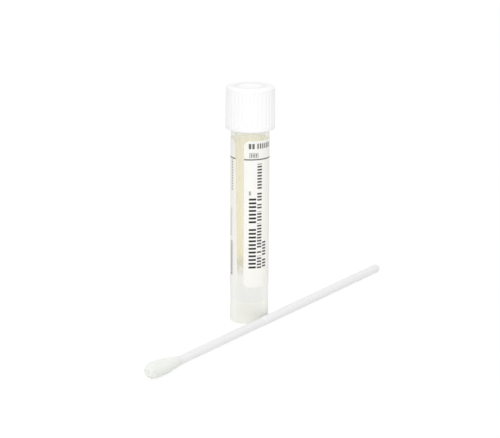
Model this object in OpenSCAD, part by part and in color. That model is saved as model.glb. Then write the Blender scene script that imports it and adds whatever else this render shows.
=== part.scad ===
// Specimen swab tube: a self-standing screw-cap tube with its sampling swab lying beside it.
// Millimetres. +Z is up, -Y is the front. The origin is the centre of the tube's foot on the floor.

/* [Tube] */
// Outer diameter of the tube body
tube_d = 12.4; // [10.4:0.1:18]
// Height of the tube from the floor to its rim
rim_z = 75.4; // [55:0.1:110]
// Taper of the bore from the rim down to the pointed bottom, on the radius
bore_draft = 0.15; // [0:0.01:0.4]
// Height of the inside of the pointed bottom above the floor
well_z = 2.0; // [1.6:0.1:4]
// Height at which the pointed bottom meets the straight bore
well_top_z = 8.0; // [7:0.1:12]
// Diameter of the flat inside the pointed bottom
well_d = 2.4; // [1.6:0.1:4]
// Wall of the pointed bottom
bottom_wall = 1.0; // [0.7:0.05:1.2]
// Wall of the hollow skirt that the tube stands on
skirt_wall = 0.9; // [0.6:0.05:1.1]
// Rounding of the foot's outer edge
foot_round = 0.3; // [0.1:0.05:0.4]

/* [Neck and thread] */
// Step in from the tube body to the neck, on the radius
neck_step = 0.45; // [0.2:0.05:0.6]
// Wall of the neck
neck_wall = 0.8; // [0.6:0.05:1.1]
// Height of the neck from its sloped shoulder to the rim
neck_h = 10.6; // [9.5:0.1:14]
// Plain stretch of neck left above the thread
neck_plain = 1.2; // [0.6:0.1:2]
// Rise of the thread in one turn
thread_pitch = 3.0; // [2.4:0.1:3.6]
// Height of the thread ridges above the wall that carries them
thread_depth = 0.55; // [0.4:0.01:0.7]
// Slope of the thread's flanks
flank_deg = 30; // [20:1:36]

/* [Cap] */
// Height of the cap
cap_h = 14.15; // [11.5:0.05:18]
// Wall of the cap
cap_wall = 1.5; // [1.1:0.05:2.5]
// Thickness of the cap's top
cap_plate = 1.6; // [1.2:0.1:2.4]
// Rounding of the cap's top edge
cap_shoulder_round = 1.0; // [0.4:0.1:1.2]
// Rounding of the cap's bottom edge
cap_foot_round = 0.5; // [0.2:0.1:0.6]
// Number of grip grooves round the cap
groove_count = 34; // [16:2:36]
// Radius of each grip groove
groove_r = 0.45; // [0.3:0.05:0.5]
// Depth of each grip groove
groove_depth = 0.2; // [0.15:0.05:0.4]
// Plain band under the grip grooves
groove_band = 1.5; // [1:0.1:3]
// Width of the rim round the shallow dish in the cap's top
dish_rim = 1.95; // [1.4:0.05:2.5]
// Depth of the dish at its middle
dish_depth = 0.45; // [0.2:0.05:0.6]
// Depth of the socket that holds the end of the swab, above its funnel
socket_h = 3.5; // [2:0.1:4.5]
// Height of the funnel that leads the swab into the socket
funnel_h = 3.6; // [2:0.1:4.5]
// Wall of the socket and its funnel
funnel_wall = 0.7; // [0.5:0.05:0.9]

/* [Seal] */
// Thickness of the seal ring between the rim and the cap
seal_t = 1.0; // [0.6:0.1:1.4]

/* [Label] */
// Thickness of the label
label_t = 0.12; // [0.08:0.01:0.2]
// Height of the label's lower edge above the floor
label_z = 12.4; // [9:0.1:30]
// Bare stretch of tube between the label's upper edge and the cap
label_below_cap = 2.95; // [0.5:0.05:10]
// Radius of the label's corners
label_corner = 1.9; // [0.5:0.1:3]
// Width left open between the label's two ends, at its lower edge
label_open_w = 2.3; // [1:0.1:4]
// How much wider that opening is at the upper edge
label_slant = 1.2; // [0:0.1:1.6]
// How far the opening lies round to the left of the front
label_open_deg = 28; // [0:1:60]

/* [Fluid] */
// Depth of the fluid in the tube
fluid_h = 15.6; // [10:0.1:40]

/* [Swab] */
// Length of the swab
swab_l = 152; // [120:1:180]
// Diameter of the swab's handle
handle_d = 2.9; // [2.4:0.05:3.5]
// Diameter of the swab's shaft on the tip's side of the break point
shaft_d = 2.8; // [2.3:0.05:3.3]
// Distance of the break point from the tip's end
break_l = 70; // [50:1:84]
// Diameter left at the break point
break_d = 2.2; // [1.5:0.05:2.2]
// Length of the groove at the break point
break_w = 0.8; // [0.6:0.1:3]
// Largest diameter of the flocked tip
tip_d = 5.7; // [5.5:0.1:6.6]
// Diameter of the tip's round nose
nose_d = 5.4; // [5:0.1:5.5]
// Distance from the tip's end to its widest place
belly_l = 5.6; // [4:0.1:8]
// Length of the flocked tip
tip_l = 18.6; // [15:0.1:26]
// How far the flock's line at its nose lies above the line of the shaft, which sinks through it
nose_rise = 1.05; // [0:0.05:1.1]
// Thickness of the flock where it thins out on the shaft
flock_end = 0.1; // [0.1:0.01:0.4]
// Distance from the tip's end to the end of the shaft inside it
tip_cover = 3.0; // [2.8:0.1:4]
// Direction of the swab across the floor, from +X towards +Y
swab_deg = 60.2; // [0:0.1:90]
// Distance along the swab from its tip's end to the place that passes the tube
swab_reach = 75.8; // [40:0.2:100]

/* [Clearances] */
// Space between the thread's crests and the walls they face, on the radius
thread_clear = 0.25; // [0.2:0.01:0.35]
// Rise from the cap's ridge up to the neck's ridge that holds it down
flank_clear = 0.3; // [0.2:0.01:0.4]
// Free space under the cap's ridge, down to the next turn of the neck's ridge
thread_play = 0.5; // [0.3:0.01:0.7]
// Space between the cap's lowest ridge and the shoulder or mouth below it
ridge_clear = 0.8; // [0.4:0.1:1.2]
// Space between the seal ring and the cap's wall, on the radius
seal_clear = 0.2; // [0.1:0.05:0.4]
// Space between the seal ring's hole and the bore, on the radius
seal_inset = 0.1; // [0:0.05:0.3]
// Space between the funnel's mouth and the bore, on the radius
funnel_clear = 0.75; // [0.4:0.05:1]
// Space between the socket and the swab's handle, on the radius
socket_clear = 0.1; // [0.05:0.01:0.3]
// Space between the fluid and the tube's inner wall
fluid_clear = 0.03; // [0.02:0.01:0.1]
// Space between the flock and the shaft inside it
flock_clear = 0.02; // [0.01:0.01:0.05]
// Space on the floor between the swab's handle and the tube
swab_clear = 0.85; // [0.3:0.05:3]

/* [Hidden] */
$fn = 96;

// Overlap that joins two shapes of one piece, and how far a cut runs past a face
lap = 0.1;
past = 1;

// Tube and neck
tube_r = tube_d / 2;
neck_r = tube_r - neck_step;
neck_z = rim_z - neck_h;
shoulder_z = neck_z - neck_step;
lip_round = 0.2;
bore_top_r = neck_r - neck_wall;
bore_low_r = bore_top_r - bore_draft;
function bore_r_at(z) = bore_low_r + bore_draft * (z - well_top_z) / (rim_z - well_top_z);

// Pointed bottom, and the hollow of the skirt under it
well_r = well_d / 2;
skirt_r = tube_r - skirt_wall;
well_slope = (bore_low_r - well_r) / (well_top_z - well_z);
well_shift = bottom_wall * sqrt(1 + well_slope * well_slope);
point_z = well_z - bottom_wall;
point_r = well_r + well_shift - well_slope * bottom_wall;
skirt_top_z = point_z + (skirt_r - point_r) / well_slope;

// Cap
cap_bore_r = max(neck_r + thread_depth, tube_r) + thread_clear;
cap_r = cap_bore_r + cap_wall;
plate_z = rim_z + seal_t;
cap_top_z = plate_z + cap_plate;
cap_z = cap_top_z - cap_h;
mouth_chamfer = 0.35;
groove_end_z = cap_top_z - cap_shoulder_round - groove_r;
dish_r = cap_r - dish_rim;
dish_ball_r = (dish_r * dish_r + dish_depth * dish_depth) / (2 * dish_depth);

// Socket and funnel for the end of the swab
socket_r = handle_d / 2 + socket_clear;
socket_z = plate_z - socket_h;
funnel_z = socket_z - funnel_h;
funnel_outer_r = bore_top_r - funnel_clear;

// Thread: two like ridges share each turn, the cap's under the neck's
ridge_apart = (thread_pitch - thread_play - flank_clear) / 2;
ridge_base_w = ridge_apart + (cap_bore_r - neck_r) * tan(flank_deg);
cap_thread_z = max(neck_z, cap_z + mouth_chamfer) + ridge_clear + ridge_base_w / 2;
neck_thread_z = cap_thread_z + ridge_apart + flank_clear;
neck_thread_top_z = rim_z - neck_plain - ridge_base_w / 2;
neck_turns = floor(4 * (neck_thread_top_z - neck_thread_z) / thread_pitch) / 4;
cap_turns = neck_turns - 0.25;
ridge_embed = 0.25;
ridge_step_deg = 10;
ridge_fade_deg = 40;

// Label
label_r = tube_r + label_t;
label_top_z = cap_z - label_below_cap;
corner_steps = 8;
// How far a rounded corner runs past the label's edge, so that the two cross cleanly
corner_nick = 0.02;

// Swab, drawn standing on its tip's end at the origin and then laid down
handle_r = handle_d / 2;
handle_end_z = swab_l - handle_r;
shaft_r = shaft_d / 2;
break_r = break_d / 2;
tip_r = tip_d / 2;
nose_r = nose_d / 2;
tip_lean_deg = asin(nose_rise / tip_l);
swab_offset = tube_r + swab_clear + handle_r;

// From its belly the flock thins out along a curve of this power
tail_power = 1.7;
tail_steps = 8;
flock_end_r = shaft_r + flock_end;
flock_tail = [
    for (i = [0 : tail_steps])
        let (u = i / tail_steps)
        [flock_end_r + (tip_r - flock_end_r) * (1 - pow(u, tail_power)),
         belly_l + (tip_l - belly_l) * u]
];

// The swab rests on the underside of its flock and on the round end of its handle
flock_low = [
    for (p = flock_tail)
        let (back = tip_l - p[1])
        [p[0] * cos(tip_lean_deg) - back * sin(tip_lean_deg),
         handle_end_z - tip_l + back * cos(tip_lean_deg) + p[0] * sin(tip_lean_deg)]
];
swab_tilt_deg = max([for (p = flock_low) atan(p[0] / p[1]) - asin(handle_r / norm(p))]);
swab_start_z = handle_r + handle_end_z * sin(swab_tilt_deg);

// A round block on the Z axis in half section, with its outer edges rounded
module block_section(r, low, high, low_round, high_round) {
    translate([0, low])
        square([r - max(low_round, high_round), high - low]);
    translate([0, low + low_round])
        square([r, high - low - low_round - high_round]);
    if (low_round > 0)
        translate([r - low_round, low + low_round])
            circle(low_round);
    if (high_round > 0)
        translate([r - high_round, high - high_round])
            circle(high_round);
}

// Height of a ridge along its length: full but for the stretch that fades at each end
function ridge_height(deg, total_deg) =
    thread_depth * min(1, deg / ridge_fade_deg, (total_deg - deg) / ridge_fade_deg) - lap / 2;

// Half the width of a ridge at a height above its wall
function ridge_half_w(height) = ridge_base_w / 2 - height * tan(flank_deg);

// One ring of four corners: inner low, outer low, outer high, inner high.
// side is 1 for a ridge that stands outwards from its wall and -1 for one that stands inwards.
function ridge_ring(wall_r, side, height, deg, z) =
    let (
        foot = [wall_r - side * ridge_embed, ridge_half_w(-ridge_embed)],
        crest = [wall_r + side * height, ridge_half_w(height)],
        inner = side > 0 ? foot : crest,
        outer = side > 0 ? crest : foot
    )
    [
        for (corner = [[inner, -1], [outer, -1], [outer, 1], [inner, 1]])
            [corner[0][0] * cos(deg), corner[0][0] * sin(deg), z + corner[1] * corner[0][1]]
    ];

// A helical ridge on a round wall, rising counter-clockwise from start_z at the front
module thread_ridge(wall_r, side, start_z, turns) {
    total_deg = 360 * turns;
    steps = round(total_deg / ridge_step_deg);
    points = [
        for (i = [0 : steps])
            let (deg = i * total_deg / steps)
            each ridge_ring(wall_r, side, ridge_height(deg, total_deg), deg - 90,
                            start_z + thread_pitch * deg / 360)
    ];
    walls = [
        for (i = [0 : steps - 1], j = [0 : 3])
            let (a = 4 * i + j, b = 4 * i + (j + 1) % 4)
            each [[a, b, b + 4], [a, b + 4, a + 4]]
    ];
    last = 4 * steps;
    ends = [[2, 1, 0], [3, 2, 0], [last, last + 1, last + 2], [last, last + 2, last + 3]];
    polyhedron(points, concat(walls, ends));
}

module tube_section() {
    difference() {
        union() {
            block_section(tube_r, 0, shoulder_z, foot_round, 0);
            // sloped shoulder up to the neck
            polygon([[0, shoulder_z - lap], [tube_r, shoulder_z - lap], [tube_r, shoulder_z],
                     [neck_r, neck_z], [0, neck_z]]);
            block_section(neck_r, neck_z - lap, rim_z, 0, lip_round);
        }
        // bore and pointed bottom
        polygon([[0, well_z], [well_r, well_z], [bore_low_r, well_top_z],
                 [bore_top_r, rim_z], [bore_top_r, rim_z + past], [0, rim_z + past]]);
        // hollow of the skirt
        polygon([[0, -past], [skirt_r, -past], [skirt_r, skirt_top_z],
                 [point_r, point_z], [0, point_z]]);
    }
}

module tube() {
    color([0.93, 0.94, 0.92]) {
        rotate_extrude() tube_section();
        thread_ridge(neck_r, 1, neck_thread_z, neck_turns);
    }
}

module cap_section() {
    difference() {
        block_section(cap_r, cap_z, cap_top_z, cap_foot_round, cap_shoulder_round);
        translate([0, cap_z - past])
            square([cap_bore_r, plate_z - cap_z + past]);
        // chamfer inside the mouth
        polygon([[0, cap_z - past], [cap_bore_r + mouth_chamfer, cap_z - past],
                 [cap_bore_r + mouth_chamfer, cap_z], [cap_bore_r, cap_z + mouth_chamfer],
                 [0, cap_z + mouth_chamfer]]);
        // dish in the top
        translate([0, cap_top_z - dish_depth + dish_ball_r])
            circle(dish_ball_r);
    }
    // socket and funnel, hanging from the plate
    polygon([[socket_r, plate_z + lap], [socket_r, socket_z],
             [funnel_outer_r - funnel_wall, funnel_z], [funnel_outer_r, funnel_z],
             [socket_r + funnel_wall, socket_z], [socket_r + funnel_wall, plate_z + lap]]);
}

// The cutter of one grip groove, with a round upper end
module groove_cutter() {
    groove_z = cap_z + groove_band;
    rotate_extrude($fn = 24)
        intersection() {
            union() {
                translate([0, groove_z])
                    square([groove_r, groove_end_z - groove_z]);
                translate([0, groove_end_z])
                    circle(groove_r);
            }
            translate([0, groove_z])
                square([groove_r, cap_h]);
        }
}

module cap() {
    color([0.96, 0.96, 0.96]) {
        difference() {
            rotate_extrude() cap_section();
            for (i = [0 : groove_count - 1])
                rotate([0, 0, i * 360 / groove_count - 90])
                    translate([cap_r + groove_r - groove_depth, 0, 0])
                        groove_cutter();
        }
        thread_ridge(cap_bore_r, -1, cap_thread_z, cap_turns);
    }
}

module cap_seal() {
    hole_r = bore_top_r + seal_inset;
    color([0.85, 0.86, 0.87])
        rotate_extrude()
            translate([hole_r, rim_z])
                square([cap_bore_r - seal_clear - hole_r, seal_t]);
}

// Points along a rounded corner of the label
function corner_arc(centre, from_deg, to_deg) = [
    for (i = [0 : corner_steps])
        let (deg = from_deg + (to_deg - from_deg) * i / corner_steps)
        centre + label_corner * [cos(deg), sin(deg)]
];

// The opening between the label's ends, seen from outside. Its left side leans to the left.
module label_opening() {
    lean = label_slant / (label_top_z - label_z);
    low_z = label_z + label_corner - corner_nick;
    high_z = label_top_z - label_corner + corner_nick;
    right_x = label_open_w / 2 + label_corner;
    left_low_x = -label_open_w / 2 - label_corner * (lean + sqrt(1 + lean * lean));
    left_high_x = left_low_x - lean * (high_z - low_z);
    polygon(concat(
        [[left_low_x, label_z - past]],
        corner_arc([left_low_x, low_z], -90, atan(lean)),
        corner_arc([left_high_x, high_z], atan(lean), 90),
        [[left_high_x, label_top_z + past], [right_x, label_top_z + past]],
        corner_arc([right_x, high_z], 90, 180),
        corner_arc([right_x, low_z], 180, 270),
        [[right_x, label_z - past]]
    ));
}

module label() {
    color([0.97, 0.97, 0.94])
        difference() {
            rotate_extrude()
                translate([tube_r, label_z])
                    square([label_t, label_top_z - label_z]);
            rotate([90, 0, -label_open_deg])
                linear_extrude(label_r + past)
                    label_opening();
        }
}

module reagent() {
    fluid_z = well_z + fluid_h;
    color([0.9, 0.93, 0.84])
        rotate_extrude()
            polygon([[0, well_z + fluid_clear], [well_r - fluid_clear, well_z + fluid_clear],
                     [bore_low_r - fluid_clear, well_top_z],
                     [bore_r_at(fluid_z) - fluid_clear, fluid_z], [0, fluid_z]]);
}

// Lays down on the floor beside the tube what is drawn standing at the origin
module laid_down() {
    rotate([0, 0, swab_deg])
        translate([-swab_reach, -swab_offset, swab_start_z])
            rotate([0, 90 + swab_tilt_deg, 0])
                children();
}

// Half of a ball in section, on the Z axis
module ball_section(r, z) {
    intersection() {
        translate([0, z])
            circle(r);
        translate([0, z - r])
            square([r, 2 * r]);
    }
}

module swab_handle() {
    color([0.94, 0.94, 0.94])
        laid_down()
            rotate_extrude($fn = 72) {
                polygon([[0, tip_cover], [shaft_r, tip_cover], [shaft_r, break_l - break_w / 2],
                         [break_r, break_l], [handle_r, break_l + break_w / 2],
                         [handle_r, handle_end_z], [0, handle_end_z]]);
                ball_section(handle_r, handle_end_z);
            }
}

module swab_tip() {
    color([0.93, 0.95, 0.89])
        laid_down()
            difference() {
                // the flock leans about the place where it thins out on the shaft
                translate([0, 0, tip_l])
                    rotate([0, tip_lean_deg, 0])
                        translate([0, 0, -tip_l])
                            rotate_extrude($fn = 72) {
                                ball_section(nose_r, nose_r);
                                polygon(concat([[0, nose_r], [nose_r, nose_r]], flock_tail,
                                               [[0, tip_l]]));
                            }
                // bore that the shaft fills
                translate([0, 0, tip_cover - flock_clear])
                    cylinder(h = tip_l, r = shaft_r + flock_clear, $fn = 72);
            }
}

tube();
cap();
cap_seal();
label();
reagent();
swab_handle();
swab_tip();
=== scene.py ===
"""Specimen swab tube: the visual model of a labelled screw-cap tube and its flocked swab.

Every size is in metres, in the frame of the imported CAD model. +Z is up and -Y is the front.
"""

import math
import random

import bmesh
import bpy
from bpy.props import FloatProperty, FloatVectorProperty, IntProperty, PointerProperty
from mathutils import Matrix, Vector


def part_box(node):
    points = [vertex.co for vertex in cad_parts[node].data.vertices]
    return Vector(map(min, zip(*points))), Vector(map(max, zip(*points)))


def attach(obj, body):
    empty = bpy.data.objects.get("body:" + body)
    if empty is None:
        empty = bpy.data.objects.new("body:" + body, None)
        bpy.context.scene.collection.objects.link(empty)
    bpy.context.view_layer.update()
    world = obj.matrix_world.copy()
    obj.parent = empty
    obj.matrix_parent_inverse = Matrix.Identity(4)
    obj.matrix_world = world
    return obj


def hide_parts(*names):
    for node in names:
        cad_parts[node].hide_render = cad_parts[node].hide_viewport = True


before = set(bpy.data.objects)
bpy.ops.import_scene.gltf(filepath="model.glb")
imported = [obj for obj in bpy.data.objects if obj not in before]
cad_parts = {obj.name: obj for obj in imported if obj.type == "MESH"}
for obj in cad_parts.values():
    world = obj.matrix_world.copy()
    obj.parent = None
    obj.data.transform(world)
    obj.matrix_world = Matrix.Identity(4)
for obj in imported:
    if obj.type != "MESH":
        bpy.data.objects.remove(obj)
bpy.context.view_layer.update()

bl_info = {
    "name": "Specimen Swab Tube",
    "version": (1, 0, 0),
    "blender": (4, 5, 0),
    "location": "View3D > Sidebar > Swab Tube",
    "description": "Builds a labelled screw-cap specimen tube and its flocked swab",
    "category": "Mesh",
}

MM = 0.001
TURN = 2 * math.pi
SHARP_ANGLE = math.radians(32)
MERGE_GAP = 0.0001 * MM
# Slack with which vertices are found at a radius or a height
SLACK = 0.002 * MM

# Places that the frame fixes
TUBE_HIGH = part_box("tube")[1]
CAP_LOW, CAP_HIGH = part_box("cap")
LABEL_LOW, LABEL_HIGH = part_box("label")
FLUID_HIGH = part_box("reagent")[1]
HANDLE_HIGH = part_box("swab_handle")[1]
TUBE_R = TUBE_HIGH.x
CAP_R = CAP_HIGH.x
LABEL_R = LABEL_HIGH.x
PLATE_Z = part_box("cap_seal")[1].z


# -------- settings


def length(name, description, millimetres):
    """A length setting that is given here in millimetres and kept in metres."""
    return FloatProperty(
        name=name, description=description, default=millimetres * MM, min=0, precision=5, unit="LENGTH"
    )


def colour(name, description, shade):
    """A colour setting."""
    return FloatVectorProperty(
        name=name, description=description, default=shade, min=0, max=1, size=3, subtype="COLOR"
    )


class ThreadSizes(bpy.types.PropertyGroup):
    """The screw thread that the tube and the cap share"""
    pitch: length("Pitch", "Rise of the thread in one turn", 3.0)
    depth: length("Depth", "Height of the ridges above their wall", 0.55)
    base: length("Base", "Width of a ridge at its foot", 1.562)
    flank: FloatProperty(
        name="Flank", description="Slope of the ridge's sides", default=math.radians(30), subtype="ANGLE"
    )
    fade: FloatProperty(
        name="Fade", description="Turn over which a ridge's end fades out",
        default=math.radians(40), subtype="ANGLE",
    )


class TubeSizes(bpy.types.PropertyGroup):
    """Sizes of the tube"""
    bore_top: length("Bore at the rim", "Radius of the bore at the rim", 4.95)
    bore_low: length("Bore at the well", "Radius of the bore where the pointed bottom begins", 4.8)
    well_top: length("Top of the well", "Height at which the pointed bottom begins", 8.0)
    well_floor: length("Floor of the well", "Height of the inside of the pointed bottom", 2.0)
    well_radius: length("Well radius", "Radius of the flat inside the pointed bottom", 1.2)
    bottom_wall: length("Bottom wall", "Wall of the pointed bottom", 1.0)
    skirt_wall: length("Skirt wall", "Wall of the hollow skirt", 0.9)
    foot_round: length("Foot rounding", "Rounding of the foot's outer edge", 0.3)
    neck_radius: length("Neck radius", "Outer radius of the threaded neck", 5.75)
    neck_height: length("Neck height", "Height of the neck above its sloped shoulder", 10.6)
    ridge_start: length("Ridge start", "Height of the neck's ridge at its lower end", 67.781)
    ridge_turns: FloatProperty(name="Ridge turns", description="Turns of the neck's ridge", default=1.75)


class CapSizes(bpy.types.PropertyGroup):
    """Sizes of the cap"""
    bore: length("Bore", "Radius inside the cap's wall", 6.55)
    mouth_chamfer: length("Mouth chamfer", "Chamfer inside the cap's mouth", 0.35)
    shoulder_round: length("Shoulder rounding", "Rounding of the cap's top edge", 1.0)
    foot_round: length("Foot rounding", "Rounding of the cap's bottom edge", 0.5)
    grooves: IntProperty(name="Grip grooves", description="Number of grip grooves", default=34)
    groove_radius: length("Groove radius", "Radius of each grip groove", 0.45)
    groove_depth: length("Groove depth", "Depth of each grip groove", 0.2)
    groove_band: length("Plain band", "Plain band under the grip grooves", 1.5)
    dish_radius: length("Dish radius", "Outer radius of the shallow dish in the top", 6.1)
    dish_depth: length("Dish depth", "Depth of the dish at its middle", 0.45)
    draft: length("Draft", "How much narrower the cap's wall is at its top, on the radius", 0.15)
    socket_radius: length("Socket radius", "Radius of the socket for the swab's end", 1.55)
    socket_height: length("Socket height", "Depth of that socket", 3.5)
    funnel_height: length("Funnel height", "Height of the funnel under the socket", 3.6)
    funnel_radius: length("Funnel radius", "Outer radius of the funnel's mouth", 4.2)
    funnel_wall: length("Funnel wall", "Wall of the socket and its funnel", 0.7)
    ridge_start: length("Ridge start", "Height of the cap's ridge at its lower end", 66.381)
    ridge_turns: FloatProperty(name="Ridge turns", description="Turns of the cap's ridge", default=1.5)


class LabelSizes(bpy.types.PropertyGroup):
    """Sizes of the label"""
    corner: length("Corner radius", "Radius of the label's corners", 1.9)
    opening: length("Opening", "Width left open at the label's lower edge", 2.3)
    slant: length("Slant", "How much wider the opening is at the upper edge", 1.2)
    opening_turn: FloatProperty(
        name="Opening turn", description="How far the opening lies round to the left of the front",
        default=math.radians(28), subtype="ANGLE",
    )
    paste_gap: length("Paste gap", "Film of adhesive between the label and the tube", 0.02)


class SwabSizes(bpy.types.PropertyGroup):
    """Sizes of the swab, and how it lies"""
    whole: length("Length", "Length of the swab", 152)
    direction: FloatProperty(
        name="Direction", description="Direction of the swab across the floor, from +X towards +Y",
        default=math.radians(60.2), subtype="ANGLE",
    )
    handle_radius: length("Handle radius", "Radius of the handle", 1.45)
    shaft_radius: length("Shaft radius", "Radius of the shaft on the tip's side", 1.4)
    break_radius: length("Break radius", "Radius left at the break point", 1.1)
    break_place: length("Break place", "Distance of the break point from the tip's end", 70)
    break_width: length("Break width", "Length of the groove at the break point", 0.8)
    nose_radius: length("Nose radius", "Radius of the tip's round nose", 2.7)
    nose_rise: length("Nose rise", "How far the flock's line at its nose lies above the shaft's", 1.05)
    belly_radius: length("Belly radius", "Largest radius of the tip", 2.85)
    belly_place: length("Belly place", "Distance from the tip's end to its widest place", 5.6)
    tip_length: length("Tip length", "Length of the flocked tip", 18.6)
    tail_flock: length("Tail flock", "Thickness of the flock where it ends on the shaft", 0.05)
    tip_cover: length("Tip cover", "Distance from the tip's end to the shaft inside it", 3.0)
    fibre: length("Fibre length", "Height of the flock's fibres above its ground", 0.25)


class Finish(bpy.types.PropertyGroup):
    """Colours of the pieces"""
    tube: colour("Tube", "Colour of the milky tube plastic", (0.93, 0.935, 0.895))
    cap: colour("Cap", "Colour of the cap's plastic", (0.94, 0.94, 0.94))
    seal: colour("Seal", "Colour of the seal ring", (0.72, 0.74, 0.76))
    film: colour("Label film", "Colour of the label's face", (0.945, 0.945, 0.94))
    paste: colour("Label back", "Colour of the adhesive on the label's back", (0.96, 0.88, 0.55))
    ink: colour("Ink", "Colour of the printed bars", (0.01, 0.01, 0.012))
    fluid: colour("Fluid", "Colour of the transport fluid", (0.985, 0.985, 0.965))
    swab: colour("Swab", "Colour of the swab's handle", (0.865, 0.865, 0.87))
    flock: colour("Flock", "Colour of the flocked tip", (0.965, 0.985, 0.94))


class StageSettings(bpy.types.PropertyGroup):
    """Camera and light"""
    lens: FloatProperty(
        name="Lens", description="Focal length of the camera", default=172.8, subtype="DISTANCE_CAMERA"
    )
    pitch: FloatProperty(
        name="Pitch", description="How far the camera looks down",
        default=math.radians(13.6), subtype="ANGLE",
    )
    distance: length("Distance", "How far the camera stands in front of the tube", 758.55)
    roll: FloatProperty(
        name="Roll", description="How far the camera leans to its left",
        default=math.radians(0.365), subtype="ANGLE",
    )
    height: length("Height", "Height of the camera above the floor", 217.3)
    sideways: length("Sideways", "How far the camera stands to the right of the tube's axis", 0.136)
    ambient: FloatProperty(name="Ambient", description="Light from all round", default=0.68)
    key: FloatProperty(
        name="Key light", description="Power of the lamp in front", default=3.7, unit="POWER"
    )
    top: FloatProperty(
        name="Top light", description="Power of the lamp overhead", default=2.5, unit="POWER"
    )


class SwabTubeSettings(bpy.types.PropertyGroup):
    """All the settings of the specimen swab tube"""
    thread: PointerProperty(type=ThreadSizes)
    tube: PointerProperty(type=TubeSizes)
    cap: PointerProperty(type=CapSizes)
    label: PointerProperty(type=LabelSizes)
    swab: PointerProperty(type=SwabSizes)
    finish: PointerProperty(type=Finish)
    stage: PointerProperty(type=StageSettings)


# -------- mesh helpers


def arc(centre_r, centre_z, radius, start_deg, end_deg, steps):
    """Points of an arc in a section, as (radius, height) pairs."""
    angles = [math.radians(start_deg + (end_deg - start_deg) * i / steps) for i in range(steps + 1)]
    return [(centre_r + radius * math.cos(a), centre_z + radius * math.sin(a)) for a in angles]


def turned(section, steps):
    """A round body on the Z axis, from an open section whose ends lie on the axis."""
    bm = bmesh.new()
    verts = [bm.verts.new((0, -r, z)) for r, z in section]
    edges = [bm.edges.new(pair) for pair in zip(verts, verts[1:])]
    bmesh.ops.spin(
        bm, geom=verts + edges, cent=(0, 0, 0), axis=(0, 0, 1), dvec=(0, 0, 0),
        angle=TURN, steps=steps, use_merge=True,
    )
    bmesh.ops.remove_doubles(bm, verts=bm.verts, dist=MERGE_GAP)
    bmesh.ops.recalc_face_normals(bm, faces=bm.faces)
    return bm


def round_ring(bm, radius, height, size, segments):
    """Rounds the ring of edges that runs round the axis at one radius and height."""

    def on_ring(vert):
        return abs(vert.co.xy.length - radius) < SLACK and abs(vert.co.z - height) < SLACK

    ring = [e for e in bm.edges if all(on_ring(v) for v in e.verts)]
    bmesh.ops.bevel(
        bm, geom=ring, offset=size, offset_type="OFFSET", segments=segments,
        profile=0.5, affect="EDGES", material=-1,
    )


def add_ridge(bm, thread, wall_r, side, start_z, turns):
    """Adds a helical ridge on a round wall, rising counter-clockwise from the front.

    side is 1 for a ridge that stands outwards and -1 for one that stands inwards.
    """
    embed = 0.05 * MM
    slope = math.tan(thread.flank)
    corners = [
        (-embed, -(thread.base / 2 + embed * slope)),
        (thread.depth, -(thread.base / 2 - thread.depth * slope)),
        (thread.depth, thread.base / 2 - thread.depth * slope),
        (-embed, thread.base / 2 + embed * slope),
    ]
    steps_per_turn = 72
    offset = bm.verts.layers.float.new("ridge_offset")
    part = bm.verts.layers.int.new("ridge_crest")
    on_crest, on_foot = 1, 2
    verts = []
    for rise, along in corners:
        vert = bm.verts.new((0, -(wall_r + side * rise), start_z + along))
        vert[offset] = along
        vert[part] = on_crest if rise > 0 else on_foot
        verts.append(vert)
    edges = [bm.edges.new((verts[i], verts[(i + 1) % 4])) for i in range(4)]
    bmesh.ops.spin(
        bm, geom=verts + edges, cent=(0, 0, 0), axis=(0, 0, 1),
        dvec=(0, 0, thread.pitch / steps_per_turn),
        angle=TURN * turns, steps=round(steps_per_turn * turns), use_merge=False,
    )
    for vert in [v for v in bm.verts if v[part] == on_crest]:
        turn = (vert.co.z - vert[offset] - start_z) / thread.pitch * TURN
        share = min(1, turn / thread.fade, (TURN * turns - turn) / thread.fade)
        rise = thread.depth * share - embed * (1 - share)
        vert.co.xy *= (wall_r + side * rise) / (wall_r + side * thread.depth)
    ends = [e for e in bm.edges if e.is_boundary and e.verts[0][part] and e.verts[1][part]]
    bmesh.ops.holes_fill(bm, edges=ends, sides=4)
    ridge_faces = [f for f in bm.faces if all(v[part] for v in f.verts)]
    bmesh.ops.recalc_face_normals(bm, faces=ridge_faces)


def shade_smooth(bm):
    """Smooth faces, with the edges past the sharp angle kept crisp."""
    for face in bm.faces:
        face.smooth = True
    for edge in bm.edges:
        edge.smooth = not edge.is_manifold or edge.calc_face_angle(0) < SHARP_ANGLE


def add_piece(name, bm, body, node, *materials):
    """Makes the mesh a piece that rides on a body and stands for its CAD node."""
    mesh = bpy.data.meshes.new(name)
    bm.to_mesh(mesh)
    bm.free()
    for material in materials:
        mesh.materials.append(material)
    piece = bpy.data.objects.new(name, mesh)
    bpy.context.scene.collection.objects.link(piece)
    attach(piece, body)
    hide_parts(node)
    return piece


# -------- material helpers


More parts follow.
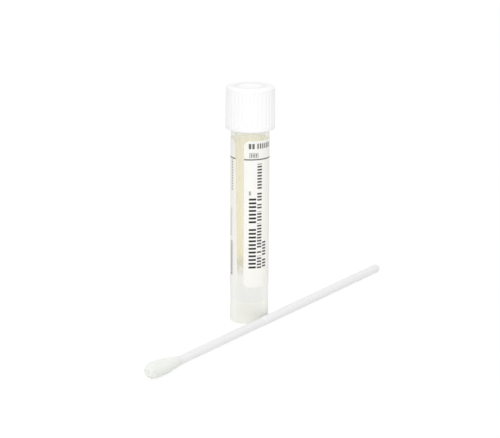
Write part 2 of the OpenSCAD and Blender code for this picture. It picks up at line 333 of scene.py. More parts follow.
class Shader:
    """A new material with its Principled shader, and short ways to add and join nodes."""

    def __init__(self, name):
        self.material = bpy.data.materials.new(name)
        self.material.use_nodes = True
        self.tree = self.material.node_tree
        self.surface = self.tree.nodes["Principled BSDF"]
        self.where = self.millimetres()

    def add(self, kind, **settings):
        """A new node, with its settings."""
        node = self.tree.nodes.new(kind)
        for key, value in settings.items():
            setattr(node, key, value)
        return node

    def join(self, source, target):
        """Joins one node's socket to another's."""
        self.tree.links.new(source, target)

    def set(self, **sockets):
        """Sets the Principled shader's sockets, whose names are written with underscores."""
        for key, value in sockets.items():
            self.surface.inputs[key.replace("_", " ")].default_value = value

    def fill(self, socket, value):
        """Joins another node's socket to a socket, or sets its value."""
        if isinstance(value, bpy.types.NodeSocket):
            self.join(value, socket)
        elif value is not None:
            socket.default_value = value

    def math(self, operation, first, second=None):
        """One step of arithmetic, on numbers or sockets."""
        node = self.add("ShaderNodeMath", operation=operation)
        self.fill(node.inputs[0], first)
        self.fill(node.inputs[1], second)
        return node.outputs[0]

    def millimetres(self):
        """The object's own coordinates, in millimetres."""
        scale = self.add("ShaderNodeMapping")
        scale.inputs["Scale"].default_value = (1 / MM,) * 3
        self.join(self.add("ShaderNodeTexCoord").outputs["Object"], scale.inputs["Vector"])
        return scale.outputs["Vector"]

    def axes(self, vector):
        """A vector's X, Y and Z."""
        node = self.add("ShaderNodeSeparateXYZ")
        self.join(vector, node.inputs[0])
        return node.outputs

    def noise(self, scale, detail=2.0):
        """Soft noise, with so many features to a millimetre."""
        node = self.add("ShaderNodeTexNoise")
        node.inputs["Scale"].default_value = scale
        node.inputs["Detail"].default_value = detail
        self.join(self.where, node.inputs["Vector"])
        return node.outputs["Fac"]

    def map_range(self, value, start, end, first, last, shape="LINEAR"):
        """Runs from first to last, while the value runs from start to end."""
        node = self.add("ShaderNodeMapRange", interpolation_type=shape)
        self.join(value, node.inputs["Value"])
        for name, number in zip(("From Min", "From Max", "To Min", "To Max"), (start, end, first, last)):
            self.fill(node.inputs[name], number)
        return node.outputs["Result"]

    def spread(self, value, low, high):
        """Maps a noise's middle range onto low to high."""
        return self.map_range(value, 0.25, 0.75, low, high)

    def ramp(self, value, start, end, first, last):
        """Runs from first to last in the same way, with a smooth start and end."""
        return self.map_range(value, start, end, first, last, "SMOOTHSTEP")

    def blend(self, share, first, second):
        """A colour between two; each is a plain colour or another node's socket."""
        node = self.add("ShaderNodeMix", data_type="RGBA")
        self.join(share, node.inputs["Factor"])
        for name, shade in (("A", first), ("B", second)):
            self.fill(node.inputs[name], (*shade, 1) if isinstance(shade, tuple) else shade)
        return node.outputs["Result"]

    def tint(self, value, first, second):
        """A colour between two, by a noise."""
        return self.blend(self.spread(value, 0, 1), tuple(first), tuple(second))

    def coat(self, shade, scale, low, high, **sockets):
        """Sets the colour, a roughness that a noise moves from low to high, and other sockets."""
        self.join(shade, self.surface.inputs["Base Color"])
        self.join(self.spread(self.noise(scale), low, high), self.surface.inputs["Roughness"])
        self.set(**sockets)

    def let_light_through(self, shade, share, share_from_within):
        """Makes the surface a thin sheet's face, which lets a share of the light through."""
        glow = self.add("ShaderNodeBsdfTranslucent")
        self.fill(glow.inputs["Color"], shade)
        within = self.add("ShaderNodeNewGeometry").outputs["Backfacing"]
        mix = self.add("ShaderNodeMixShader")
        self.join(self.map_range(within, 0, 1, share, share_from_within), mix.inputs["Fac"])
        self.join(self.surface.outputs[0], mix.inputs[1])
        self.join(glow.outputs[0], mix.inputs[2])
        self.join(mix.outputs[0], self.tree.nodes["Material Output"].inputs["Surface"])

    def bump(self, height, strength, distance):
        """Roughens the Principled shader's surface."""
        node = self.add("ShaderNodeBump")
        node.inputs["Strength"].default_value = strength
        node.inputs["Distance"].default_value = distance
        self.join(height, node.inputs["Height"])
        self.join(node.outputs["Normal"], self.surface.inputs["Normal"])


def darker(shade, share):
    """A share of a colour."""
    return tuple(part * share for part in shade)


# -------- finishes


# Share of what lies behind it that each face of the tube veils in its wall and in its foot, and
# what its neck and its sides add to that
WALL_VEIL = 0.12
FOOT_VEIL = 0.87
NECK_VEIL = 0.18
SIDE_VEIL = 0.8
# The skirt's warmer tint of its own, made lighter as painted light that lifts the shade near the floor
WARM_SKIRT_AND_PAINTED_LIGHT = (0.945, 0.948, 0.888)
# Painted highlight: the pale line where the skirt meets the pointed bottom
PAINTED_HIGHLIGHT_SEAM = (0.995, 0.99, 0.92)
# Painted highlight: a paler colour for the middle of the cap's top dish
PAINTED_HIGHLIGHT_DISH = (0.975, 0.975, 0.975)
LIGHT_THROUGH_PASTE = (0.97, 0.92, 0.7, 1)


def milky_plastic(finish, seam_z, foot_z, neck_z):
    """Thin milky polypropylene: each face veils a share of what lies behind it.

    The veil is denser in the thick foot and neck, and towards the sides, where the wall is seen edge on.
    A painted highlight runs round as a pale line where the skirt meets the pointed bottom; the skirt below
    is warmer in its own tint and lighter with painted light against the shade near the floor.
    """
    shader = Shader("milky polypropylene")
    shade = shader.tint(shader.noise(0.3), darker(finish.tube, 0.99), finish.tube)
    z = shader.axes(shader.where)["Z"]
    above_seam = shader.math("SUBTRACT", z, seam_z / MM)
    # The skirt below: a warmer tint of its own, lightened as painted light against the shade near the
    # floor
    skirt = shader.ramp(above_seam, 0.5, -0.5, 0.0, 1.0)
    shade = shader.blend(skirt, shade, WARM_SKIRT_AND_PAINTED_LIGHT)
    # Painted highlight: a pale line round the tube where the skirt meets the pointed bottom
    seam_highlight = shader.ramp(shader.math("ABSOLUTE", above_seam), 0.45, 0.1, 0.0, 0.7)
    shader.coat(shader.blend(seam_highlight, shade, PAINTED_HIGHLIGHT_SEAM), 0.6, 0.3, 0.36, IOR=1.49)
    foot_end, wall_start = foot_z / MM + 2.8, foot_z / MM + 8.6
    foot = shader.ramp(z, foot_end, wall_start, FOOT_VEIL, WALL_VEIL)
    wall_end, neck_start = neck_z / MM, neck_z / MM + 2.5
    neck = shader.ramp(z, wall_end, neck_start, 0.0, NECK_VEIL)
    edge_on = shader.add("ShaderNodeLayerWeight").outputs["Facing"]
    side = shader.math("MULTIPLY", shader.math("POWER", edge_on, 2), SIDE_VEIL)
    veil = shader.math("ADD", shader.math("ADD", foot, neck), side)
    shader.join(shader.math("MINIMUM", veil, 1.0), shader.surface.inputs["Alpha"])
    return shader.material


def cap_plastic(finish, top_z):
    """White polyethylene with a soft sheen; painted shade makes a grey ring round the middle of its top,
    and a painted highlight makes that middle paler.
    """
    shader = Shader("cap polyethylene")
    plain = shader.tint(shader.noise(0.4), darker(finish.cap, 0.99), finish.cap)
    axes = shader.axes(shader.where)
    flat = shader.add("ShaderNodeCombineXYZ")
    shader.join(axes["X"], flat.inputs["X"])
    shader.join(axes["Y"], flat.inputs["Y"])
    length_node = shader.add("ShaderNodeVectorMath", operation="LENGTH")
    shader.join(flat.outputs[0], length_node.inputs[0])
    away = length_node.outputs["Value"]
    top_band, shade_ring_r = 0.6, 4.7
    on_top = shader.math("GREATER_THAN", axes["Z"], top_z / MM - top_band)
    # Painted highlight: the middle of the top dish is given a paler colour
    middle = shader.ramp(away, 3.8, 3.4, 0.0, 1.0)
    shade = shader.blend(shader.math("MULTIPLY", on_top, middle), plain, PAINTED_HIGHLIGHT_DISH)
    # Painted shade: a grey ring round the top dish's middle, 0.92 of the cap's colour
    from_shade_ring = shader.math("ABSOLUTE", shader.math("SUBTRACT", away, shade_ring_r))
    ring = shader.ramp(from_shade_ring, 1.0, 0.5, 0.0, 1.0)
    shade = shader.blend(shader.math("MULTIPLY", on_top, ring), shade, darker(finish.cap, 0.92))
    shader.coat(shade, 3.0, 0.4, 0.46, IOR=1.5)
    return shader.material


def seal_foam(finish):
    """Grey sealing foam with small pores."""
    shader = Shader("seal foam")
    pores = shader.noise(6.0, 4.0)
    shade = shader.tint(pores, darker(finish.seal, 0.8), finish.seal)
    shader.join(shade, shader.surface.inputs["Base Color"])
    shader.set(Roughness=0.8)
    shader.bump(pores, 0.4, 0.05 * MM)
    return shader.material


def label_paste(finish):
    """Cream adhesive back of the label, seen through the tube's wall."""
    shader = Shader("label adhesive")
    shade = shader.tint(shader.noise(0.5), darker(finish.paste, 0.96), finish.paste)
    shader.coat(shade, 2.0, 0.45, 0.6)
    shader.let_light_through(LIGHT_THROUGH_PASTE, 0.8, 0.9)
    return shader.material


def printed_block_group():
    """A node group that is 1 inside a block of the label's flat plane and 0 outside.

    Gap cuts the block across its height into strokes, each Stroke long.
    """
    group = bpy.data.node_groups.new("printed block", "ShaderNodeTree")
    for name in ("U", "V", "Left", "Right", "Low", "High", "Stroke", "Gap"):
        group.interface.new_socket(name, in_out="INPUT", socket_type="NodeSocketFloat")
    group.interface.new_socket("Mask", in_out="OUTPUT", socket_type="NodeSocketFloat")
    inlet = group.nodes.new("NodeGroupInput").outputs
    outlet = group.nodes.new("NodeGroupOutput").inputs

    def math_node(operation, first, second):
        node = group.nodes.new("ShaderNodeMath")
        node.operation = operation
        group.links.new(first, node.inputs[0])
        group.links.new(second, node.inputs[1])
        return node.outputs[0]

    inside = [
        math_node("GREATER_THAN", inlet["U"], inlet["Left"]),
        math_node("LESS_THAN", inlet["U"], inlet["Right"]),
        math_node("GREATER_THAN", inlet["V"], inlet["Low"]),
        math_node("LESS_THAN", inlet["V"], inlet["High"]),
    ]
    along = math_node("SUBTRACT", inlet["V"], inlet["Low"])
    place = math_node("FLOORED_MODULO", along, inlet["Stroke"])
    mask = math_node("GREATER_THAN", place, inlet["Gap"])
    for test in inside:
        mask = math_node("MULTIPLY", mask, test)
    group.links.new(mask, outlet["Mask"])
    return group


# The label's print, as rows of plain bars. Places round the tube are measured from its front, and
# heights from the floor, all in mm. Each row is cut into strokes: where a stroke is longer than the
# bar, the bar is whole.
# Rows that run up the tube: left and right edge, stroke, gap, ink, then each bar's low and high end.
ROWS_UP = (
    # thin box, its two sides
    (-0.2, 0.0, 9.0, 0.0, 0.7, (55.4, 57.0)),
    (2.6, 2.8, 9.0, 0.0, 0.7, (55.4, 57.0)),
    # heavy row up the front, and the small bar above it
    (-0.25, 2.15, 1.25, 0.6, 1.0, (18.2, 32.5), (33.3, 42.5)),
    (-0.3, 0.4, 9.0, 0.0, 0.6, (43.1, 44.4)),
    # second row up the front
    (
        2.5, 4.15, 1.0, 0.45, 0.95,
        (18.3, 22.9), (23.4, 24.5), (25.2, 33.8), (34.1, 37.7), (38.2, 40.1), (40.8, 44.1), (44.7, 53.4),
    ),
    # third row up the front
    (4.5, 6.0, 1.0, 0.45, 0.95, (18.6, 22.0), (22.5, 27.7)),
    # small rows on the label's other end
    (32.2, 33.3, 0.9, 0.4, 0.6, (43.8, 54.3)),
    (31.3, 32.7, 0.9, 0.4, 0.45, (28.7, 38.3)),
    (31.8, 33.1, 0.9, 0.4, 0.85, (15.6, 27.2)),
)
# Rows that run round the tube: low and high edge, stroke, gap, ink, then each bar's left and right end.
ROWS_ROUND = (
    # short row along the top
    (58.3, 60.0, 1.15, 0.35, 0.9, (-0.75, 1.5)),
    (58.3, 60.0, 0.9, 0.4, 0.9, (2.0, 8.5)),
    # thin box, its top, its bottom and the short bar inside
    (56.8, 57.0, 9.0, 0.0, 0.7, (-0.2, 2.8)),
    (55.4, 55.6, 9.0, 0.0, 0.7, (-0.2, 2.8)),
    (55.8, 56.6, 0.8, 0.25, 0.8, (0.0, 2.4)),
    # rule round the tube
    (54.6, 55.0, 99.0, 0.0, 0.9, (-9.0, 40.0)),
)


def label_film(finish):
    """White label film with its print as plain bars, which show on its outer face alone."""
    shader = Shader("label film")
    axes = shader.axes(shader.add("ShaderNodeUVMap", uv_map="LabelFlat").outputs["UV"])
    group = printed_block_group()
    ink = None
    for rows, across, along in ((ROWS_UP, "X", "Y"), (ROWS_ROUND, "Y", "X")):
        for left, right, stroke, gap, strength, *bars in rows:
            for low, high in bars:
                block = shader.add("ShaderNodeGroup", node_tree=group)
                shader.join(axes[across], block.inputs["U"])
                shader.join(axes[along], block.inputs["V"])
                names = ("Left", "Right", "Low", "High", "Stroke", "Gap")
                for name, value in zip(names, (left, right, low, high, stroke, gap)):
                    block.inputs[name].default_value = value
                inked = shader.math("MULTIPLY", block.outputs["Mask"], strength)
                ink = inked if ink is None else shader.math("MAXIMUM", ink, inked)
    paper = shader.tint(shader.noise(0.7), darker(finish.film, 0.985), finish.film)
    shader.coat(shader.blend(ink, paper, tuple(finish.ink)), 2.5, 0.42, 0.55)
    bare = shader.math("SUBTRACT", 1.0, ink)
    shader.let_light_through(paper, shader.math("MULTIPLY", bare, 0.12), 0.9)
    return shader.material


def transport_fluid(finish):
    """Faintly straw-coloured fluid, which looks milky behind the wall."""
    shader = Shader("transport fluid")
    shade = shader.tint(shader.noise(0.3), finish.fluid, darker(finish.fluid, 0.995))
    shader.coat(shade, 0.8, 0.0, 0.02, IOR=1.34, Alpha=0.96)
    return shader.material


def swab_plastic(finish):
    """White moulded polystyrene of the handle."""
    shader = Shader("swab polystyrene")
    shade = shader.tint(shader.noise(0.25), darker(finish.swab, 0.985), finish.swab)
    shader.coat(shade, 1.5, 0.3, 0.42, IOR=1.55)
    return shader.material


def nylon_flock(finish):
    """Short white nylon fibres, which thin out on the shaft towards the tail."""
    shader = Shader("nylon flock")
    shade = shader.tint(shader.noise(2.5, 3.0), darker(finish.flock, 0.93), finish.flock)
    cover = shader.add("ShaderNodeAttribute", attribute_name="cover")
    shade = shader.blend(cover.outputs["Fac"], tuple(finish.swab), shade)
    shader.join(shade, shader.surface.inputs["Base Color"])
    shader.set(Roughness=0.85, Sheen_Weight=0.25, Sheen_Roughness=0.5)
    shader.bump(shader.noise(9.0), 0.3, 0.05 * MM)
    return shader.material


# -------- pieces

# Steps round the tube, round the cap for each grip groove, round the handle and round the flock
TUBE_STEPS = 128
GROOVE_STEPS = 12
HANDLE_STEPS = 48
FLOCK_STEPS = 84
# Gap between the flock's ground and the shaft inside it
SHAFT_GAP = 0.02 * MM
# A fibre's root on the ground: its least area and its inset. Its far end is this share of its root.
SMALLEST_ROOT = (0.06 * MM) ** 2
ROOT_INSET = 0.03 * MM
FIBRE_END = 0.3
# How late the flock thins out towards its tail
FLOCK_TAPER = 1.7


class SWABTUBE_OT_tube(bpy.types.Operator):
    """Build the tube: body, pointed bottom, hollow skirt and threaded neck"""

    bl_idname = "swabtube.tube"
    bl_label = "Tube"

    def execute(self, context):
        settings = context.scene.swab_tube
        sizes = settings.tube
        rim_z = TUBE_HIGH.z
        neck_z = rim_z - sizes.neck_height
        shoulder_z = neck_z - (TUBE_R - sizes.neck_radius)
        skirt_r = TUBE_R - sizes.skirt_wall
        well_slope = (sizes.bore_low - sizes.well_radius) / (sizes.well_top - sizes.well_floor)
        point_z = sizes.well_floor - sizes.bottom_wall
        point_r = (
            sizes.well_radius
            + sizes.bottom_wall * math.sqrt(1 + well_slope * well_slope)
            - sizes.bottom_wall * well_slope
        )
        skirt_top = point_z + (skirt_r - point_r) / well_slope
        section = [
            (0, point_z), (point_r, point_z), (skirt_r, skirt_top), (skirt_r, 0), (TUBE_R, 0),
            (TUBE_R, shoulder_z), (sizes.neck_radius, neck_z), (sizes.neck_radius, rim_z),
            (sizes.bore_top, rim_z), (sizes.bore_low, sizes.well_top),
            (sizes.well_radius, sizes.well_floor), (0, sizes.well_floor),
        ]
        bm = turned(section, TUBE_STEPS)
        for radius, height, size, segments in (
            (TUBE_R, 0, sizes.foot_round, 4),
            (skirt_r, 0, 0.15 * MM, 3),
            (skirt_r, skirt_top, 0.5 * MM, 4),
            (point_r, point_z, 0.4 * MM, 4),
            (sizes.well_radius, sizes.well_floor, 0.5 * MM, 4),
            (sizes.bore_low, sizes.well_top, 1.2 * MM, 6),
            (TUBE_R, shoulder_z, 0.15 * MM, 3),
            (sizes.neck_radius, neck_z, 0.15 * MM, 3),
            (sizes.neck_radius, rim_z, 0.2 * MM, 3),
            (sizes.bore_top, rim_z, 0.15 * MM, 3),
        ):
            round_ring(bm, radius, height, size, segments)
        add_ridge(bm, settings.thread, sizes.neck_radius, 1, sizes.ridge_start, sizes.ridge_turns)
        shade_smooth(bm)
        plastic = milky_plastic(settings.finish, skirt_top, LABEL_LOW.z, LABEL_HIGH.z)
        add_piece("tube_shell", bm, "tube", "tube", plastic)
        return {"FINISHED"}


def cap_section(sizes):
    """Half section of the cap, from the middle of its top round to the end of its socket."""
    low_z, top_z = CAP_LOW.z, CAP_HIGH.z
    ball_r = (sizes.dish_radius**2 + sizes.dish_depth**2) / (2 * sizes.dish_depth)
    half_deg = math.degrees(math.asin(sizes.dish_radius / ball_r))
    groove_z = low_z + sizes.groove_band
    groove_end = top_z - sizes.shoulder_round - sizes.groove_radius
    groove_rise = math.sqrt(sizes.groove_radius**2 - (sizes.groove_radius - sizes.groove_depth) ** 2)
    socket_z = PLATE_Z - sizes.socket_height
    funnel_z = socket_z - sizes.funnel_height
    socket_outer = sizes.socket_radius + sizes.funnel_wall
    rows = [groove_end + groove_rise * share for share in (1, 0.93, 0.8, 0.6, 0.35, 0)]
    rows += [groove_z, groove_z - 0.04 * MM]
    return [
        *arc(0, top_z - sizes.dish_depth + ball_r, ball_r, -90, half_deg - 90, 16),
        (CAP_R, top_z),
        *((CAP_R, z) for z in rows),
        (CAP_R, low_z), (sizes.bore + sizes.mouth_chamfer, low_z),
        (sizes.bore, low_z + sizes.mouth_chamfer), (sizes.bore, PLATE_Z),
        (socket_outer, PLATE_Z), (socket_outer, socket_z), (sizes.funnel_radius, funnel_z),
        (sizes.funnel_radius - sizes.funnel_wall, funnel_z), (sizes.socket_radius, socket_z),
        (sizes.socket_radius, PLATE_Z), (0, PLATE_Z),
    ]


def press_grooves(bm, sizes):
    """Presses the grip grooves into the cap's outer wall, each with a round upper end."""
    groove_z = CAP_LOW.z + sizes.groove_band
    groove_end = CAP_HIGH.z - sizes.shoulder_round - sizes.groove_radius
    pitch = TURN / sizes.grooves
    out = sizes.groove_radius - sizes.groove_depth
    for vert in bm.verts:
        if abs(vert.co.xy.length - CAP_R) > SLACK or vert.co.z < groove_z - SLACK:
            continue
        angle = math.atan2(vert.co.x, -vert.co.y)
        aside = CAP_R * (angle - pitch * round(angle / pitch))
        above = max(0, vert.co.z - groove_end)
        reach = sizes.groove_radius**2 - aside**2 - above**2
        if reach > out**2:
            vert.co.xy *= (CAP_R + out - math.sqrt(reach)) / CAP_R


class SWABTUBE_OT_cap(bpy.types.Operator):
    """Build the screw cap: grip grooves, shallow dish, thread, and the funnel and socket inside"""

    bl_idname = "swabtube.cap"
    bl_label = "Cap"

    def execute(self, context):
        settings = context.scene.swab_tube
        sizes = settings.cap
        bm = turned(cap_section(sizes), sizes.grooves * GROOVE_STEPS)
        press_grooves(bm, sizes)
        round_ring(bm, CAP_R, CAP_HIGH.z, sizes.shoulder_round, 8)
        round_ring(bm, CAP_R, CAP_LOW.z, sizes.foot_round, 5)
        round_ring(bm, sizes.dish_radius, CAP_HIGH.z, 0.25 * MM, 3)
        for vert in bm.verts:
            if vert.co.xy.length > sizes.bore + 0.5 * MM:
                rise = (vert.co.z - CAP_LOW.z) / (CAP_HIGH.z - CAP_LOW.z)
                vert.co.xy *= 1 - sizes.draft / CAP_R * rise
        add_ridge(bm, settings.thread, sizes.bore, -1, sizes.ridge_start, sizes.ridge_turns)
        shade_smooth(bm)
        add_piece("cap_shell", bm, "cap", "cap", cap_plastic(settings.finish, CAP_HIGH.z))
        return {"FINISHED"}


class SWABTUBE_OT_seal(bpy.types.Operator):
    """Finish the seal ring under the cap's top"""

    bl_idname = "swabtube.seal"
    bl_label = "Seal"

    def execute(self, context):
        foam = seal_foam(context.scene.swab_tube.finish)
        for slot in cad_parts["cap_seal"].material_slots:
            slot.material = foam
        return {"FINISHED"}


def flat_label(sizes):
    """The label laid flat: x runs round the tube from the front and z up, with rounded corners."""
    low_z, high_z = LABEL_LOW.z, LABEL_HIGH.z
    middle = -sizes.opening_turn * LABEL_R
    right_end = middle + sizes.opening / 2
    columns, rows = 240, 24
    bm = bmesh.new()
    bmesh.ops.create_grid(bm, x_segments=columns, y_segments=rows, size=0.5)
    for vert in bm.verts:
        across = 0.5 - 0.5 * math.cos(math.pi * (vert.co.x + 0.5))
        up = 0.5 - 0.5 * math.cos(math.pi * (vert.co.y + 0.5))
        z = low_z + (high_z - low_z) * up
        left_end = middle - sizes.opening / 2 - sizes.slant * up + TURN * LABEL_R
        vert.co = (right_end + (left_end - right_end) * across, 0, z)
        from_end = min(vert.co.x - right_end, left_end - vert.co.x)
        if from_end < sizes.corner:
            cut = sizes.corner - math.sqrt(max(0, sizes.corner**2 - (sizes.corner - from_end) ** 2))
            half = (high_z - low_z) / 2
            vert.co.z = low_z + half + (z - low_z - half) * (half - cut) / half
    return bm


class SWABTUBE_OT_label(bpy.types.Operator):
    """Build the wrap-round label with its print and its adhesive back"""

    bl_idname = "swabtube.label"
    bl_label = "Label"

    def execute(self, context):
        settings = context.scene.swab_tube
        sizes = settings.label
        bm = flat_label(sizes)
        flat = bm.loops.layers.uv.new("LabelFlat")
        skin = bmesh.ops.extrude_face_region(bm, geom=list(bm.faces))
        lifted = [v for v in skin["geom"] if isinstance(v, bmesh.types.BMVert)]
        thickness = LABEL_R - TUBE_R - sizes.paste_gap
        bmesh.ops.translate(bm, verts=lifted, vec=(0, -thickness, 0))
        bmesh.ops.recalc_face_normals(bm, faces=bm.faces)
        for face in bm.faces:
            face.material_index = 1 if face.normal.y > 0.5 else 0
            for loop in face.loops:
                loop[flat].uv = (loop.vert.co.x / MM, loop.vert.co.z / MM)
        inner_r = TUBE_R + sizes.paste_gap
        for vert in bm.verts:
            angle = vert.co.x / LABEL_R
            radius = inner_r - vert.co.y
            vert.co = (radius * math.sin(angle), -radius * math.cos(angle), vert.co.z)
        shade_smooth(bm)
        finish = settings.finish
        add_piece("label_sheet", bm, "tube", "label", label_film(finish), label_paste(finish))
        return {"FINISHED"}


class SWABTUBE_OT_fluid(bpy.types.Operator):
    """Build the transport fluid with its meniscus"""

    bl_idname = "swabtube.fluid"
    bl_label = "Fluid"

    def execute(self, context):
        settings = context.scene.swab_tube
        sizes = settings.tube
        wetting = 0.02 * MM
        top_z = FLUID_HIGH.z
        draft = (sizes.bore_top - sizes.bore_low) / (TUBE_HIGH.z - sizes.well_top)
        top_r = sizes.bore_low + draft * (top_z - sizes.well_top) + wetting
        meniscus = 0.7 * MM
        section = [
            (0, sizes.well_floor - wetting), (sizes.well_radius + wetting, sizes.well_floor - wetting),
            (sizes.bore_low + wetting, sizes.well_top),
            *arc(top_r - meniscus, top_z, meniscus, 0, -90, 8),
            (0, top_z - meniscus),
        ]
        bm = turned(section, TUBE_STEPS)
        shade_smooth(bm)
        add_piece("fluid_body", bm, "tube", "reagent", transport_fluid(settings.finish))
        return {"FINISHED"}


def flock_radius(sizes, z):
    """The flock's radius at a distance from the tip's end."""
    if z < sizes.nose_radius:
        return math.sqrt(max(0, sizes.nose_radius**2 - (sizes.nose_radius - z) ** 2))
    if z < sizes.belly_place:
        share = (z - sizes.nose_radius) / (sizes.belly_place - sizes.nose_radius)
        return sizes.nose_radius + (sizes.belly_radius - sizes.nose_radius) * math.sin(share * math.pi / 2)
    share = min(1, (z - sizes.belly_place) / (sizes.tip_length - sizes.belly_place))
    end_r = sizes.shaft_radius + sizes.tail_flock
    return end_r + (sizes.belly_radius - end_r) * (1 - share**FLOCK_TAPER)


def flock_lean(sizes):
    """Leans the flock about the place where it thins out on the shaft."""
    lean = math.asin(sizes.nose_rise / sizes.tip_length)
    pivot = Matrix.Translation((0, 0, sizes.tip_length))
    return pivot @ Matrix.Rotation(lean, 4, "Y") @ pivot.inverted()


def swab_pose(sizes):
    """The transform that lays down a swab drawn standing on its tip's end, with +X to the floor.

    The swab rests on the underside of its flock and on the round end of its handle.
    """
    end_r = sizes.handle_radius
    end_z = sizes.whole - end_r
    lean = flock_lean(sizes)
    tilt = 0
    steps = 40
    for step in range(steps + 1):
        z = sizes.belly_place + (sizes.tip_length - sizes.belly_place) * step / steps
        low = lean @ Vector((flock_radius(sizes, z), 0, z))
        away = math.hypot(low.x, end_z - low.z)
        tilt = max(tilt, math.atan2(low.x, end_z - low.z) - math.asin(end_r / away))
    end = Vector((HANDLE_HIGH.x - end_r, HANDLE_HIGH.y - end_r, end_r))
    turn = Matrix.Rotation(sizes.direction, 4, "Z") @ Matrix.Rotation(math.pi / 2 + tilt, 4, "Y")
    return Matrix.Translation(end) @ turn @ Matrix.Translation((0, 0, -end_z))


class SWABTUBE_OT_handle(bpy.types.Operator):
    """Build the swab's handle with its break point"""

    bl_idname = "swabtube.handle"
    bl_label = "Swab handle"

    def execute(self, context):
        settings = context.scene.swab_tube
        sizes = settings.swab
        end_z = sizes.whole - sizes.handle_radius
        groove_start = sizes.break_place - sizes.break_width / 2
        groove_end = sizes.break_place + sizes.break_width / 2
        section = [
            (0, sizes.tip_cover), (sizes.shaft_radius, sizes.tip_cover),
            (sizes.shaft_radius, groove_start), (sizes.break_radius, sizes.break_place),
            (sizes.handle_radius, groove_end),
            *arc(0, end_z, sizes.handle_radius, 0, 90, 10),
        ]
        bm = turned(section, HANDLE_STEPS)
        round_ring(bm, sizes.shaft_radius, groove_start, 0.12 * MM, 3)
        round_ring(bm, sizes.break_radius, sizes.break_place, 0.15 * MM, 3)
        round_ring(bm, sizes.handle_radius, groove_end, 0.12 * MM, 3)
        shade_smooth(bm)
        bmesh.ops.transform(bm, matrix=swab_pose(sizes), verts=bm.verts)
        add_piece("handle_rod", bm, "tube", "swab_handle", swab_plastic(settings.finish))
        return {"FINISHED"}


def fibre_height(sizes, z):
    """Height of the fibres at a distance from the tip's end: less where the flock is thin."""
    return min(sizes.fibre, 0.7 * (flock_radius(sizes, z) - sizes.shaft_radius))


def flock_section(sizes):
    """Half section of the flock's ground, drawn standing on the tip's end, with the shaft's bore."""
    nose_r = sizes.nose_radius
    bore_r = sizes.shaft_radius + SHAFT_GAP
    bore_end = sizes.tip_cover - SHAFT_GAP
    nose_rows, rows = 22, 84
    section = arc(0, nose_r, nose_r - sizes.fibre, -90, 0, nose_rows)
    for row in range(1, rows + 1):
        z = nose_r + (sizes.tip_length - nose_r) * row / rows
        section.append((flock_radius(sizes, z) - fibre_height(sizes, z), z))
    return section + [(bore_r, sizes.tip_length), (bore_r, bore_end), (0, bore_end)]


def thin_out_columns(bm, radius, top_z, keep):
    """Keeps one column in so many near the nose's pole, where they crowd together."""
    spare = []
    for edge in bm.edges:
        ends = [v.co for v in edge.verts]
        outer = max(ends, key=lambda co: co.xy.length)
        if max(co.z for co in ends) > top_z or outer.xy.length > radius:
            continue
        column = round(math.atan2(outer.y, outer.x) / TURN * FLOCK_STEPS)
        if abs(ends[0].z - ends[1].z) > 0.001 * MM and column % keep:
            spare.append(edge)
    bmesh.ops.dissolve_edges(bm, edges=spare, use_verts=False)


class SWABTUBE_OT_tip(bpy.types.Operator):
    """Build the flocked tip: its ground and thousands of short fibres"""

    bl_idname = "swabtube.tip"
    bl_label = "Swab tip"

    def execute(self, context):
        settings = context.scene.swab_tube
        sizes = settings.swab
        chance = random.Random(7)
        bm = turned(flock_section(sizes), FLOCK_STEPS)
        cover = bm.verts.layers.float.new("cover")
        thin_cover, tail = 0.1, 5 * MM
        for vert in bm.verts:
            vert[cover] = thin_cover + (sizes.tip_length - vert.co.z) / tail
        thin_out_columns(bm, 1.0 * MM, sizes.nose_radius / 2, 4)
        bore_r = sizes.shaft_radius + SHAFT_GAP + 0.001 * MM
        bore_z = sizes.tip_cover - 0.1 * MM

        def on_skin(vert):
            return vert.co.xy.length >= bore_r or vert.co.z <= bore_z

        skin = {v for v in bm.verts if on_skin(v)}
        roots = [f for f in bm.faces if skin.issuperset(f.verts) and len(f.verts) > 3]
        roots = [f for f in roots if f.calc_area() > SMALLEST_ROOT]
        bmesh.ops.inset_individual(bm, faces=roots, thickness=ROOT_INSET, use_even_offset=True)
        spikes = bmesh.ops.extrude_discrete_faces(bm, faces=roots)["faces"]
        for face in spikes:
            centre = face.calc_center_median()
            height = fibre_height(sizes, max(centre.z, sizes.nose_radius)) * chance.uniform(0.8, 1.15)
            lean = Vector([chance.uniform(-0.5, 0.5) for _ in range(3)])
            move = (face.normal + lean).normalized() * height
            for vert in face.verts:
                vert.co = centre + (vert.co - centre) * FIBRE_END + move
        flock = [v for v in bm.verts if on_skin(v)]
        bmesh.ops.transform(bm, matrix=flock_lean(sizes), verts=flock)
        bmesh.ops.transform(bm, matrix=swab_pose(sizes), verts=bm.verts)
        add_piece("flock_tip", bm, "tube", "swab_tip", nylon_flock(settings.finish))
        return {"FINISHED"}


# -------- stage


def add_lamp(name, power, size, place, target):
    """A round soft lamp that points at a target."""
    lamp = bpy.data.lights.new(name, "AREA")
    lamp.shape = "DISK"
    lamp.size = size
    lamp.energy = power
    holder = bpy.data.objects.new(name, lamp)
    holder.location = place
    holder.rotation_euler = (Vector(target) - Vector(place)).to_track_quat("-Z", "Y").to_euler()
    bpy.context.scene.collection.objects.link(holder)


def seen_directly(tree):
    """1 for rays that show a surface or its reflection, and 0 for those that light it."""
    path = tree.nodes.new("ShaderNodeLightPath")
    share = path.outputs["Is Camera Ray"]
    for name in ("Is Glossy Ray", "Is Transmission Ray"):
        larger = tree.nodes.new("ShaderNodeMath")
        larger.operation = "MAXIMUM"
        tree.links.new(share, larger.inputs[0])
        tree.links.new(path.outputs[name], larger.inputs[1])
        share = larger.outputs[0]
    return share


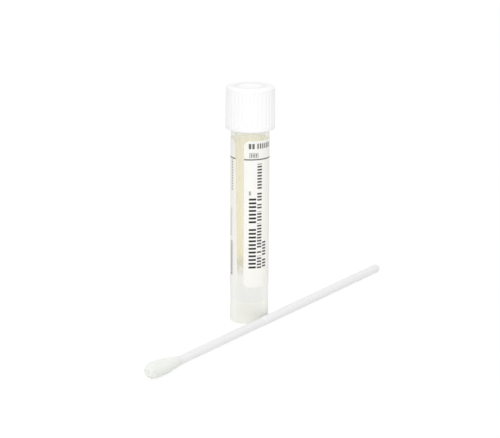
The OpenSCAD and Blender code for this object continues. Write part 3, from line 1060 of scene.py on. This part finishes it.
def light_and_show(tree, lit, shown, output):
    """Lights the scene with one shader, and shows another to the eye."""
    mix = tree.nodes.new("ShaderNodeMixShader")
    tree.links.new(seen_directly(tree), mix.inputs["Fac"])
    tree.links.new(lit.outputs[0], mix.inputs[1])
    tree.links.new(shown.outputs[0], mix.inputs[2])
    tree.links.new(mix.outputs[0], tree.nodes[output].inputs["Surface"])


def stage_world(ambient):
    """White light from all round, in front of plain white."""
    world = bpy.data.worlds.new("studio")
    world.use_nodes = True
    tree = world.node_tree
    lit = tree.nodes["Background"]
    lit.inputs["Color"].default_value = (1, 1, 1, 1)
    lit.inputs["Strength"].default_value = ambient
    shown = tree.nodes.new("ShaderNodeBackground")
    shown.inputs["Color"].default_value = (1, 1, 1, 1)
    shown.inputs["Strength"].default_value = 1
    light_and_show(tree, lit, shown, "World Output")
    bpy.context.scene.world = world


def floor_paint():
    """Plain pale floor that reads white and keeps a faint shadow."""
    material = bpy.data.materials.new("floor paint")
    material.use_nodes = True
    tree = material.node_tree
    tree.nodes.remove(tree.nodes["Principled BSDF"])
    lit = tree.nodes.new("ShaderNodeBsdfDiffuse")
    lit.inputs["Color"].default_value = (0.9, 0.9, 0.9, 1)
    faint = tree.nodes.new("ShaderNodeBsdfDiffuse")
    faint.inputs["Color"].default_value = (0.12, 0.12, 0.12, 1)
    glow = tree.nodes.new("ShaderNodeEmission")
    glow.inputs["Color"].default_value = (1, 1, 1, 1)
    glow.inputs["Strength"].default_value = 0.91
    shown = tree.nodes.new("ShaderNodeAddShader")
    tree.links.new(faint.outputs[0], shown.inputs[0])
    tree.links.new(glow.outputs[0], shown.inputs[1])
    light_and_show(tree, lit, shown, "Material Output")
    return material


class SWABTUBE_OT_stage(bpy.types.Operator):
    """Set the floor, the soft studio light and the camera"""

    bl_idname = "swabtube.stage"
    bl_label = "Stage"

    def execute(self, context):
        stage = context.scene.swab_tube.stage
        scene = context.scene
        bm = bmesh.new()
        bmesh.ops.create_circle(bm, cap_ends=True, segments=96, radius=3)
        mesh = bpy.data.meshes.new("floor")
        bm.to_mesh(mesh)
        bm.free()
        mesh.materials.append(floor_paint())
        floor = bpy.data.objects.new("floor", mesh)
        scene.collection.objects.link(floor)
        stage_world(stage.ambient)
        middle = (0, 0, TUBE_HIGH.z / 2)
        add_lamp("front lamp", stage.key, 0.8, (-0.08, -1.0, 0.5), middle)
        add_lamp("top lamp", stage.top, 0.8, (0.1, -0.1, 1.1), middle)
        camera = bpy.data.cameras.new("camera")
        camera.lens = stage.lens
        camera.sensor_width = 36
        camera.clip_start, camera.clip_end = 0.01, 20
        holder = bpy.data.objects.new("camera", camera)
        holder.location = (stage.sideways, -stage.distance, stage.height)
        look = Matrix.Rotation(math.pi / 2 - stage.pitch, 3, "X") @ Matrix.Rotation(stage.roll, 3, "Z")
        holder.rotation_euler = look.to_euler()
        scene.collection.objects.link(holder)
        scene.camera = holder
        scene.view_settings.view_transform = "Standard"
        return {"FINISHED"}


class SWABTUBE_PT_panel(bpy.types.Panel):
    """Lists the steps that build the specimen swab tube"""

    bl_idname = "SWABTUBE_PT_panel"
    bl_label = "Specimen Swab Tube"
    bl_space_type = "VIEW_3D"
    bl_region_type = "UI"
    bl_category = "Swab Tube"

    def draw(self, context):
        for step in STEPS:
            self.layout.operator(step.bl_idname)


STEPS = (
    SWABTUBE_OT_stage,
    SWABTUBE_OT_tube,
    SWABTUBE_OT_fluid,
    SWABTUBE_OT_label,
    SWABTUBE_OT_seal,
    SWABTUBE_OT_cap,
    SWABTUBE_OT_handle,
    SWABTUBE_OT_tip,
)
CLASSES = (
    ThreadSizes, TubeSizes, CapSizes, LabelSizes, SwabSizes, Finish, StageSettings, SwabTubeSettings,
    *STEPS, SWABTUBE_PT_panel,
)


def register():
    """Adds the settings, the steps and the panel."""
    for cls in CLASSES:
        bpy.utils.register_class(cls)
    bpy.types.Scene.swab_tube = PointerProperty(type=SwabTubeSettings)


def unregister():
    """Takes them away again."""
    del bpy.types.Scene.swab_tube
    for cls in reversed(CLASSES):
        bpy.utils.unregister_class(cls)


def main():
    """Builds the whole scene."""
    register()
    for step in STEPS:
        group, name = step.bl_idname.split(".")
        getattr(getattr(bpy.ops, group), name)()


if __name__ == "__main__":
    main()
